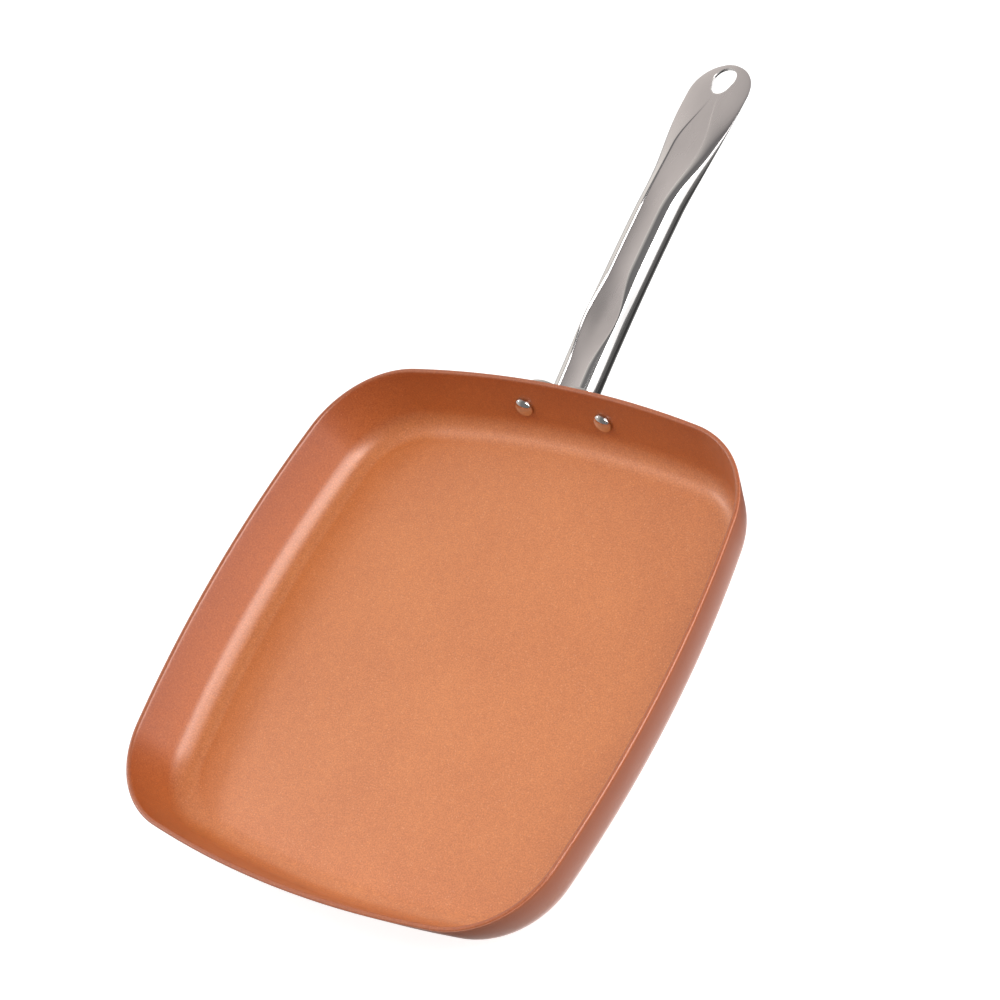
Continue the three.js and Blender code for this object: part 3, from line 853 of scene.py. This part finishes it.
def tube_section(handle, place, inset):
    """One section of the tube as x and z about its axis, with how much of each point is land:
    round shoulders rise to a crest on each side and the land is sunk between them."""
    flat = smoothstep(place, handle.reach - FLATTENING_FROM_TIP, handle.reach - FLAT_FROM_TIP)
    width, land_height, depth = land_at(handle, place)
    tip_radius = handle.tip_width / 2
    into_tip = min(max((place - handle.reach + tip_radius) / tip_radius, 0), 1)
    narrowing = math.sqrt(1 - into_tip ** 2)
    thinning = (1 - into_tip ** TIP_THINNING_POWER) ** (1 / TIP_THINNING_POWER)
    half = lerp(handle.tube_diameter, handle.tip_width, flat) * narrowing / 2 - inset
    below = (lerp(handle.tube_diameter, 2 * handle.sheet, flat) / 2 - inset) * thinning
    top_power = 2 / lerp(ROUND_POWER, FLAT_TOP_POWER, flat)
    under_power = 2 / lerp(ROUND_POWER, FLAT_UNDERSIDE_POWER, flat)
    widest = max(half - LEAST_SHOULDER, half * LEAST_CREST_SHARE)
    crest = min(width / 2 + CREST_WIDTH, widest)
    land_half = max(crest - CREST_WIDTH, crest * LEAST_LAND_SHARE)
    land_height = (land_height - inset) * thinning
    top = land_height + depth

    angles = np.linspace(0, math.pi / 2, SHOULDER_POINTS, endpoint=False)
    shoulder = np.stack((
        crest + (half - crest) * np.cos(angles) ** top_power,
        top * np.sin(angles) ** top_power,
        np.full(SHOULDER_POINTS, flat)), axis=1)
    shares = np.linspace(0, 1, CREST_POINTS, endpoint=False)
    ease = smoothstep(shares, 0, 1)
    slope = np.stack((
        lerp(crest, land_half, shares), top - depth * ease, np.maximum(ease, flat)), axis=1)
    across = np.linspace(1, 0, LAND_POINTS, endpoint=False)
    dish = LAND_DISH * (1 - flat)
    land = np.stack((
        land_half * across, land_height - dish * (1 - across ** 2), np.ones(LAND_POINTS)), axis=1)
    quarter = np.concatenate((shoulder, slope, land))
    mirror = np.array((-1, 1, 1))
    angles = np.linspace(0, math.pi, UNDERSIDE_POINTS + 1)[1:-1]
    turn = np.cos(angles)
    underside = np.stack((
        half * np.sign(turn) * np.abs(turn) ** under_power,
        -below * np.sin(angles) ** under_power,
        np.zeros(len(angles))), axis=1)
    middle = np.array(((0, land_height - dish, 1),))
    ring = np.concatenate((quarter * mirror, middle, quarter[::-1], underside))
    along = (place - DIMPLE_FROM_RIM) / DIMPLE_LENGTH
    dimple = np.exp(-along ** 2 - (ring[:, 0] / DIMPLE_WIDTH) ** 2) * ring[:, 2]
    ring[:, 1] -= DIMPLE_DEPTH * dimple
    return ring


def root_places(pan, handle, mount, ring, offset):
    """Where each point of a section meets the face that lies an offset off the wall."""
    place = np.zeros(len(ring))
    for _ in range(ROOT_SOLVE_STEPS):
        points = on_axis(pan, handle, mount, place, ring[:, 0], ring[:, 1])
        wall = wall_point(pan, points[:, 0], points[:, 2], offset)
        place = place + wall[:, 1] - points[:, 1]
    return place


def tube_skin(pan, handle, mount, inset, end, spacing):
    """Rings of the tube from its seat on the flange to a place, and each point's land share."""
    ring = tube_section(handle, ROOT_END, inset)
    seat = root_places(pan, handle, mount, ring, flange_face(mount) + SEAT_GAP)
    rings, shares = [], []
    for share in np.linspace(0, 1, ROOT_RINGS, endpoint=False):
        place = lerp(seat, ROOT_END, share)
        rings.append(on_axis(pan, handle, mount, place, ring[:, 0], ring[:, 1]))
        shares.append(ring[:, 2])
    steps = round((end - ROOT_END) / spacing)
    for place in np.linspace(ROOT_END, end, steps):
        section = tube_section(handle, place, inset)
        rings.append(on_axis(pan, handle, mount, place, section[:, 0], section[:, 1]))
        shares.append(section[:, 2])
    return rings, shares


def handle_piece(pan, handle, mount):
    """The hollow tube, closed at its pressed tip and open at the flange."""
    tip_radius = handle.tip_width / 2
    tip_centre = handle.reach - tip_radius
    outside, outer_land = tube_skin(pan, handle, mount, 0, tip_centre, OUTSIDE_SPACING)
    for angle in np.linspace(0, TIP_LAST_ANGLE, TIP_RINGS + 1)[1:]:
        place = tip_centre + tip_radius * math.sin(angle)
        section = tube_section(handle, place, 0)
        outside.append(on_axis(pan, handle, mount, place, section[:, 0], section[:, 1]))
        outer_land.append(section[:, 2])
    hollow_end = handle.reach - HOLLOW_END_FROM_TIP
    inside, inner_land = tube_skin(pan, handle, mount, handle.sheet, hollow_end, INSIDE_SPACING)
    piece = capped_loft("handle_tube", inside[::-1] + outside)
    shares = np.concatenate(inner_land[::-1] + outer_land + [np.zeros(2)])
    attribute = piece.data.attributes.new("land", "FLOAT", "POINT")
    attribute.data.foreach_set("value", shares)
    return piece


def hole_cutter(pan, handle):
    """The hanging hole with a flare at each face, so that the cut leaves a rounded lip."""
    tip = pan.rim_width / 2 + handle.reach
    wide, narrow = HOLE_WIDTH / 2, HOLE_NARROW_WIDTH / 2
    wide_end = tip - HOLE_FROM_TIP - wide
    narrow_end = tip - HOLE_FROM_TIP - HOLE_LENGTH + narrow
    levels = []
    for angle in np.linspace(math.pi / 2, 0, HOLE_LIP_STEPS):
        flare = HOLE_LIP * (1 - math.cos(angle))
        levels.append((flare, handle.sheet - HOLE_LIP * (1 - math.sin(angle))))
    levels = [(HOLE_LIP, HOLE_REACH)] + levels
    levels += [(flare, -height) for flare, height in reversed(levels)]
    rings = []
    for flare, height in levels:
        outline = wrapped_circles([(narrow_end, narrow + flare), (wide_end, wide + flare)])
        level = np.full(len(outline), handle.tip_height + height)
        rings.append(np.stack((-outline[:, 1], outline[:, 0], level), axis=1))
    return capped_loft("hole_cutter", rings)


# Flange

def flange_piece(pan, handle, mount):
    """A stamped plate that follows the wall, with a collar drawn out of its middle."""
    end = mount.flange_end_diameter / 2
    outline = wrapped_circles([
        (-mount.rivet_pitch / 2, end),
        (0, mount.flange_height / 2),
        (mount.rivet_pitch / 2, end)])
    near, far = SEAT_GAP, flange_face(mount)
    collar = tube_section(handle, ROOT_END, handle.sheet + COLLAR_GAP)
    bore = tube_section(handle, ROOT_END, handle.sheet + COLLAR_GAP + COLLAR_SHEET)
    turns = np.arctan2(outline[:, 1], outline[:, 0])
    angles = np.arctan2(collar[:, 1], collar[:, 0])
    reach = np.interp(angles, turns, np.hypot(*outline.T), period=2 * math.pi)
    spokes = np.stack((np.cos(angles), np.sin(angles)), axis=1)

    def on_plate(distance, offset):
        flat = spokes * distance[:, None]
        height = mount.height + flat[:, 1] * math.cos(pan.wall_draft)
        return wall_point(pan, flat[:, 0], height, offset)

    def collar_rings(section, offset, direction):
        place = root_places(pan, handle, mount, section, offset)
        tail = lerp(place, place.mean() + COLLAR_LENGTH, np.linspace(0, 1, COLLAR_RINGS)[:, None])
        return [
            on_axis(pan, handle, mount, p, section[:, 0], section[:, 1])
            for p in tail[::direction]
        ]

    collar_radius = np.hypot(collar[:, 0], collar[:, 1])
    bore_radius = np.hypot(bore[:, 0], bore[:, 1])
    turn = np.linspace(0, math.pi / 2, FLANGE_EDGE_STEPS)
    drop_in = FLANGE_EDGE * (1 - np.sin(turn))
    lift = FLANGE_EDGE * (1 - np.cos(turn))
    rings = [on_plate(reach - d, near + h) for d, h in zip(drop_in, lift)]
    rings += [on_plate(reach - d, far - h) for d, h in zip(drop_in[::-1], lift[::-1])]
    edge = reach - FLANGE_EDGE
    shares = np.linspace(0, 1, FLANGE_FACE_RINGS)[1:-1]
    rings += [on_plate(lerp(edge, collar_radius, s), far) for s in shares]
    rings += collar_rings(collar, far, 1)
    rings += collar_rings(bore, near, -1)
    rings += [on_plate(lerp(bore_radius, edge, s), near) for s in shares]
    points = np.concatenate(rings)
    return new_piece("flange_plate", points, ring_faces(len(rings), len(collar), closed=True))


# Rivets

def rivet_section(pan, mount):
    """A rivet's half section, from the head's crown to the tail's crown, as radius and height
    above the wall's outer face."""
    head_seat = -pan.sheet - SEAT_GAP
    tail_seat = flange_face(mount) + SEAT_GAP

    def dome(seat, radius, edge, height, direction):
        angles = np.linspace(0, math.pi / 2, DOME_STEPS)
        rises = edge + (height - edge) * np.sin(angles)
        return [(radius, seat)] + [
            (radius * math.cos(a), seat + direction * rise) for a, rise in zip(angles, rises)]

    head = dome(head_seat, mount.head_diameter / 2, mount.head_edge, mount.head_height, -1)
    tail = dome(tail_seat, mount.tail_diameter / 2, mount.tail_edge, mount.tail_height, 1)
    shank = mount.shank_diameter / 2
    return head[::-1] + [(shank, head_seat), (shank, tail_seat)] + tail


# Finishes

def new_material(name):
    material = bpy.data.materials.new(name)
    material.use_nodes = True
    tree = material.node_tree
    tree.nodes.clear()
    shader = add_node(tree, "ShaderNodeBsdfPrincipled")
    add_node(tree, "ShaderNodeOutputMaterial", {"Surface": shader.outputs[0]})
    place = add_node(tree, "ShaderNodeTexCoord").outputs["Object"]
    return material, tree, shader, place


def attribute(tree, name):
    return add_node(tree, "ShaderNodeAttribute", attribute_name=name).outputs["Fac"]


def noise(tree, place, scale, detail=2, stretch=None):
    if stretch:
        place = add_node(tree, "ShaderNodeMapping", {"Vector": place, "Scale": stretch}).outputs[0]
    node = add_node(tree, "ShaderNodeTexNoise", {"Vector": place, "Scale": scale, "Detail": detail})
    return node.outputs["Fac"]


def remap(tree, value, before, after):
    """A value moved from one range to another, and held at the range's ends."""
    node = add_node(tree, "ShaderNodeMapRange", {
        "Value": value, "From Min": before[0], "From Max": before[1],
        "To Min": after[0], "To Max": after[1]})
    return node.outputs[0]


def spread(tree, texture, after):
    """A noise moved from the values that it mostly keeps to."""
    return remap(tree, texture, NOISE_VALUES, after)


def mix_colour(tree, share, a, b, blend="MIX"):
    # A mix node's colours come after its numbers and vectors
    node = add_node(
        tree, "ShaderNodeMix", {0: share, 6: a, 7: b}, data_type="RGBA", blend_type=blend)
    return node.outputs[2]


def mix_number(tree, share, a, b):
    node = add_node(tree, "ShaderNodeMix", {0: share, 2: a, 3: b}, data_type="FLOAT")
    return node.outputs[0]


def opaque(colour):
    return (*colour, 1)


def shaded(tree, colour, shade):
    """A colour times a grey."""
    grey = add_node(
        tree, "ShaderNodeCombineColor", {"Red": shade, "Green": shade, "Blue": shade})
    return mix_colour(tree, 1, colour, grey.outputs[0], "MULTIPLY")


def bump(tree, height, strength, distance):
    node = add_node(tree, "ShaderNodeBump", {
        "Height": height, "Strength": strength, "Distance": distance})
    return node.outputs[0]


def copper_coat(pan):
    """A fine-grained ceramic coat with small flakes, with painted shade on the walls, towards the
    rim and on the outside, and a painted floor reflection low on the outside.
    """
    material, tree, shader, place = new_material("copper_coat")
    grain = noise(tree, place, GRAIN_SCALE, detail=3)
    share = spread(tree, grain, GRAIN_SHARES)
    for scale, shares in ((CLOUD_SCALE, CLOUD_SHARES), (MOTTLE_SCALE, MOTTLE_SHARES)):
        patches = noise(tree, place, scale)
        share = maths(tree, "ADD", share, spread(tree, patches, shares))
    coat = mix_colour(tree, share, opaque(pan.coat_deep), opaque(pan.coat_light))
    height = axis_of(tree, place, "Z")
    steep = remap(tree, height, WALL_TINT_HEIGHTS, (0, 1))
    near_rim = remap(tree, height, RIM_TINT_HEIGHTS, (0, 1))
    # Painted shade on the walls
    coat = mix_colour(tree, steep, coat, opaque(pan.wall_painted_shade), "MULTIPLY")
    # Painted shade again towards the rim
    coat = mix_colour(tree, near_rim, coat, opaque(pan.rim_painted_shade), "MULTIPLY")

    cells = add_node(tree, "ShaderNodeTexVoronoi", {"Vector": place, "Scale": FLAKE_SCALE})
    draw = add_node(tree, "ShaderNodeSeparateColor", {0: cells.outputs["Color"]}).outputs["Red"]
    chosen = remap(tree, draw, FLAKE_DRAWS, (0, FLAKE_STRENGTH))
    speck = remap(tree, cells.outputs["Distance"], FLAKE_FADE, (1, 0))
    flake = maths(tree, "MULTIPLY", maths(tree, "MULTIPLY", chosen, speck),
                  remap(tree, steep, (0, 1), (1, FLAKES_ON_WALL)))
    inner = mix_colour(tree, flake, coat, opaque(pan.flake))

    # On the outside, a painted floor reflection low down gives way to the coat in painted shade
    # near the rim
    outer = mix_colour(tree, remap(tree, height, OUTER_REFLECTION_HEIGHTS, (0, 1)),
                       opaque(pan.outer_painted_reflection), opaque(pan.outer_coat_in_shade))
    outer = mix_colour(tree, maths(tree, "MULTIPLY", share, OUTER_GRAIN), outer, coat)
    # Painted shade: a dark line on the outside just under the rim
    lip_heights = [pan.depth - below for below in LIP_BELOW_RIM]
    lip = remap(tree, height, lip_heights, (0, LIP_SHADE_STRENGTH))
    outer = mix_colour(tree, lip, outer, opaque(pan.outer_lip_shade))

    rough = spread(tree, grain, COAT_ROUGHNESS)
    polish = maths(tree, "MULTIPLY", flake, FLAKE_POLISH)
    set_inputs(tree, shader, {
        "Base Color": mix_colour(tree, attribute(tree, "outside"), inner, outer),
        "Metallic": COAT_METALLIC,
        "Roughness": maths(tree, "SUBTRACT", rough, polish),
        "Specular IOR Level": COAT_SPECULAR,
        "Coat Weight": GLAZE_WEIGHT,
        "Coat Roughness": GLAZE_ROUGHNESS,
        "Normal": bump(tree, maths(tree, "ADD", grain, flake), *COAT_BUMP)})
    return material


def handle_steel(pan, handle):
    """Polished sides and a satin land with fine lines along the tube, darker round the thumb's
    dimple.
    """
    material, tree, shader, place = new_material("handle_steel")
    land = attribute(tree, "land")
    lines = noise(tree, place, 1, stretch=LINE_STRETCH)
    smear = noise(tree, place, SMEAR_SCALE, detail=3, stretch=SMEAR_STRETCH)
    haze = noise(tree, place, HAZE_SCALE, stretch=HAZE_STRETCH)
    thumb = (0, pan.rim_width / 2 + DIMPLE_FROM_RIM, 0)
    flat = vector_maths(tree, "MULTIPLY", {0: place, 1: (1, 1, 0)})
    away = vector_maths(tree, "DISTANCE", {0: flat, 1: thumb}, "Value")
    darkened_round_dimple = maths(tree, "MULTIPLY", remap(tree, away, DIMPLE_DARKENING_REACH, (DIMPLE_DARKENING_DEPTH, 0)),
                   spread(tree, smear, DIMPLE_DARKENING_SMEAR))
    shade = maths(tree, "SUBTRACT", spread(tree, smear, SMEAR_SHADES), darkened_round_dimple)
    steel = mix_colour(tree, land, opaque(handle.polished), opaque(handle.satin))
    drawn = maths(tree, "MULTIPLY", lines, remap(tree, land, (0, 1), (LINES_WHERE_POLISHED, 1)))
    set_inputs(tree, shader, {
        "Base Color": shaded(tree, steel, shade),
        "Metallic": 1,
        "Roughness": mix_number(tree, land, spread(tree, haze, POLISHED_ROUGHNESS),
                                spread(tree, haze, SATIN_ROUGHNESS)),
        "Normal": bump(tree, drawn, *LINE_BUMP)})
    return material


def marked_steel(name, colour, roughness):
    """Stamped or headed steel with fine grain and light marks."""
    material, tree, shader, place = new_material(name)
    grain = noise(tree, place, STEEL_GRAIN_SCALE, detail=3)
    marks = noise(tree, place, STEEL_MARK_SCALE, detail=4)
    set_inputs(tree, shader, {
        "Base Color": shaded(tree, opaque(colour), spread(tree, marks, STEEL_SHADES)),
        "Metallic": 1,
        "Roughness": spread(tree, marks, roughness),
        "Normal": bump(tree, grain, *STEEL_BUMP)})
    return material


# Stage

def floor_material(stage):
    material, tree, shader, place = new_material("pale_floor")
    shade = spread(tree, noise(tree, place, FLOOR_TINT_SCALE), FLOOR_SHADES)
    set_inputs(tree, shader, {
        "Base Color": shaded(tree, opaque(stage.floor_colour), shade),
        "Roughness": FLOOR_ROUGHNESS,
        "Emission Color": (1, 1, 1, 1),
        "Emission Strength": FLOOR_GLOW})
    return material


def make_floor(stage):
    half = FLOOR_SIZE / 2
    corners = ((-half, -half), (half, -half), (half, half), (-half, half))
    floor = new_piece("floor", [(x, y, FLOOR_HEIGHT) for x, y in corners], [(0, 1, 2, 3)])
    floor.data.materials.append(floor_material(stage))


def stand(name, data, place, aim, roll=0):
    """Stands a camera or a lamp at a place, turned to face an aim."""
    holder = bpy.data.objects.new(name, data)
    bpy.context.scene.collection.objects.link(holder)
    holder.location = place
    holder.rotation_mode = "QUATERNION"
    facing = (Vector(aim) - Vector(place)).to_track_quat("-Z", "Y")
    holder.rotation_quaternion = facing @ Quaternion((0, 0, 1), roll)
    return holder


def make_camera(stage):
    camera = bpy.data.cameras.new("camera")
    camera.lens = stage.lens
    bpy.context.scene.camera = stand(
        "camera", camera, stage.camera_place, stage.camera_aim, stage.camera_roll)


def make_lamp(stage, name, place, aim, width, height, watts, mirrored):
    lamp = bpy.data.lights.new(name, "AREA")
    lamp.shape = "RECTANGLE"
    lamp.size, lamp.size_y, lamp.energy = width, height, watts
    lamp.color = stage.light_colour
    stand(name, lamp, place, aim).visible_glossy = mirrored


def make_card(name, flat, faces, glow):
    """A card on the floor that only mirrors see."""
    card = new_piece(name, [(x, y, CARD_HEIGHT) for x, y in flat], faces)
    material, tree, shader, _ = new_material(name)
    set_inputs(tree, shader, {
        "Base Color": (0, 0, 0, 1),
        "Specular IOR Level": 0,
        "Emission Color": CARD_COLOUR,
        "Emission Strength": glow})
    card.data.materials.append(material)
    card.visible_camera = card.visible_diffuse = card.visible_shadow = False


def make_cards(pan):
    """The cards that give the steel and the outer coat their darker reflections: a painted shadow
    of the pan and the handle on the floor.
    """
    outline, inward = rim_outline(pan)
    ring = [
        (p.x + shift * i.x, p.y + shift * i.y)
        for shift in (PAN_CARD_INSET, -PAN_CARD_REACH)
        for p, i in zip(outline, inward)
    ]
    make_card("pan_card", ring, ring_faces(2, len(outline)), PAN_CARD_GLOW)
    for name, (x0, y0), (x1, y1), glow in HANDLE_CARDS:
        make_card(name, ((x0, y0), (x1, y0), (x1, y1), (x0, y1)), [(0, 1, 2, 3)], glow)


def make_world():
    """A plain room that is bright on one side and dark on the other."""
    world = bpy.data.worlds.new("studio")
    bpy.context.scene.world = world
    world.use_nodes = True
    tree = world.node_tree
    tree.nodes.clear()
    direction = add_node(tree, "ShaderNodeTexCoord").outputs["Generated"]
    towards = vector_maths(tree, "DOT_PRODUCT", {0: direction, 1: BRIGHT_SIDE}, "Value")
    share = remap(tree, towards, BRIGHTENING, (0, 1))
    colour = mix_colour(tree, share, opaque(WORLD_DARK), opaque(WORLD_BRIGHT))
    room = add_node(tree, "ShaderNodeBackground", {"Color": colour})
    add_node(tree, "ShaderNodeOutputWorld", {"Surface": room.outputs[0]})


# Operators

def dress(piece, finish, slot, *nodes):
    """Gives a finished piece its material and its place in the frame."""
    piece.data.materials.clear()
    piece.data.materials.append(finish)
    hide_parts(*nodes)
    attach(piece, BODY)


class PAN_OT_body(bpy.types.Operator):
    """Presses the pan body from its wall section and rim outline"""

    bl_idname = "frying_pan.body"
    bl_label = "Pan Body"

    def execute(self, context):
        pan, _, mount, _ = settings()
        outline, inward = rim_outline(pan)
        finish = copper_coat(pan)
        section, outside_points = body_section(pan)
        piece, guides = sweep("pan_shell", outline, inward, section, outside_points, finish)
        cut(piece, shank_cutter(pan, mount))
        drop(*guides)
        dress(piece, finish, "copper_coat", "pan_body")
        return {"FINISHED"}


class PAN_OT_handle(bpy.types.Operator):
    """Builds the hollow handle with its pressed land and hanging hole"""

    bl_idname = "frying_pan.handle"
    bl_label = "Handle"

    def execute(self, context):
        pan, handle, mount, _ = settings()
        piece = handle_piece(pan, handle, mount)
        cut(piece, hole_cutter(pan, handle))
        dress(piece, handle_steel(pan, handle), "handle_steel", "handle")
        return {"FINISHED"}


class PAN_OT_flange(bpy.types.Operator):
    """Stamps the flange that carries the handle"""

    bl_idname = "frying_pan.flange"
    bl_label = "Handle Flange"

    def execute(self, context):
        pan, handle, mount, _ = settings()
        piece = flange_piece(pan, handle, mount)
        cut(piece, shank_cutter(pan, mount))
        finish = marked_steel("flange_steel", mount.flange_steel, FLANGE_ROUGHNESS)
        dress(piece, finish, "flange_steel", "handle_flange")
        return {"FINISHED"}


class PAN_OT_rivets(bpy.types.Operator):
    """Sets the rivets along the handle-side wall"""

    bl_idname = "frying_pan.rivets"
    bl_label = "Rivets"

    def execute(self, context):
        pan, _, mount, _ = settings()
        finish = marked_steel("rivet_steel", mount.rivet_steel, RIVET_ROUGHNESS)
        angles = np.linspace(0, 2 * math.pi, RIVET_SEGMENTS, endpoint=False)
        spokes = [Vector((math.cos(a), math.sin(a), 0)) for a in angles]
        widest = mount.head_diameter / 2
        section = [(widest - radius, height, 0) for radius, height in rivet_section(pan, mount)]
        form, guides = sweep(
            "rivet_form", [widest * s for s in spokes], [-s for s in spokes], section, 0, finish)
        make_plain(form)
        row = new_piece("rivets", [])
        add_tree(row, rivet_row_tree(), {
            "Rivet": form, "Count": RIVET_COUNT, "Pitch": mount.rivet_pitch,
            "Height": mount.height, "Wall Radius": wall_radius(pan, mount.height, 0),
            "Bow Centre": bow_centre(pan), "Draft": pan.wall_draft, "Finish": finish})
        make_plain(row)
        drop(*guides, form)
        dress(row, finish, "rivet_steel", "rivet_left", "rivet_right")
        return {"FINISHED"}


class PAN_OT_stage(bpy.types.Operator):
    """Sets up the camera, the floor and the light"""

    bl_idname = "frying_pan.stage"
    bl_label = "Stage"

    def execute(self, context):
        pan, _, _, stage = settings()
        make_camera(stage)
        make_world()
        for lamp in LAMPS:
            make_lamp(stage, *lamp)
        make_floor(stage)
        make_cards(pan)
        context.scene.view_settings.view_transform = "Standard"
        return {"FINISHED"}


class PAN_PT_sidebar(bpy.types.Panel):
    """Lists the pan's pieces and their sizes"""

    bl_label = "Frying Pan"
    bl_idname = "PAN_PT_sidebar"
    bl_space_type = "VIEW_3D"
    bl_region_type = "UI"
    bl_category = "Frying Pan"

    def draw(self, context):
        layout = self.layout
        for operator in OPERATORS:
            layout.operator(operator.bl_idname)
        for group in settings():
            box = layout.box()
            for name in group.__annotations__:
                box.prop(group, name)


OPERATORS = (PAN_OT_stage, PAN_OT_body, PAN_OT_handle, PAN_OT_flange, PAN_OT_rivets)
GROUPS = {
    "pan_body": PanBodySettings,
    "pan_handle": HandleSettings,
    "pan_mount": MountSettings,
    "pan_stage": StageSettings,
}


def register():
    for group in GROUPS.values():
        bpy.utils.register_class(group)
    for name, group in GROUPS.items():
        setattr(bpy.types.Scene, name, PointerProperty(type=group))
    for operator in OPERATORS:
        bpy.utils.register_class(operator)
    bpy.utils.register_class(PAN_PT_sidebar)


def unregister():
    bpy.utils.unregister_class(PAN_PT_sidebar)
    for operator in reversed(OPERATORS):
        bpy.utils.unregister_class(operator)
    for name in GROUPS:
        delattr(bpy.types.Scene, name)
    for group in reversed(list(GROUPS.values())):
        bpy.utils.unregister_class(group)


def main():
    register()
    for operator in OPERATORS:
        family, name = operator.bl_idname.split(".")
        getattr(getattr(bpy.ops, family), name)()


if __name__ == "__main__":
    main()
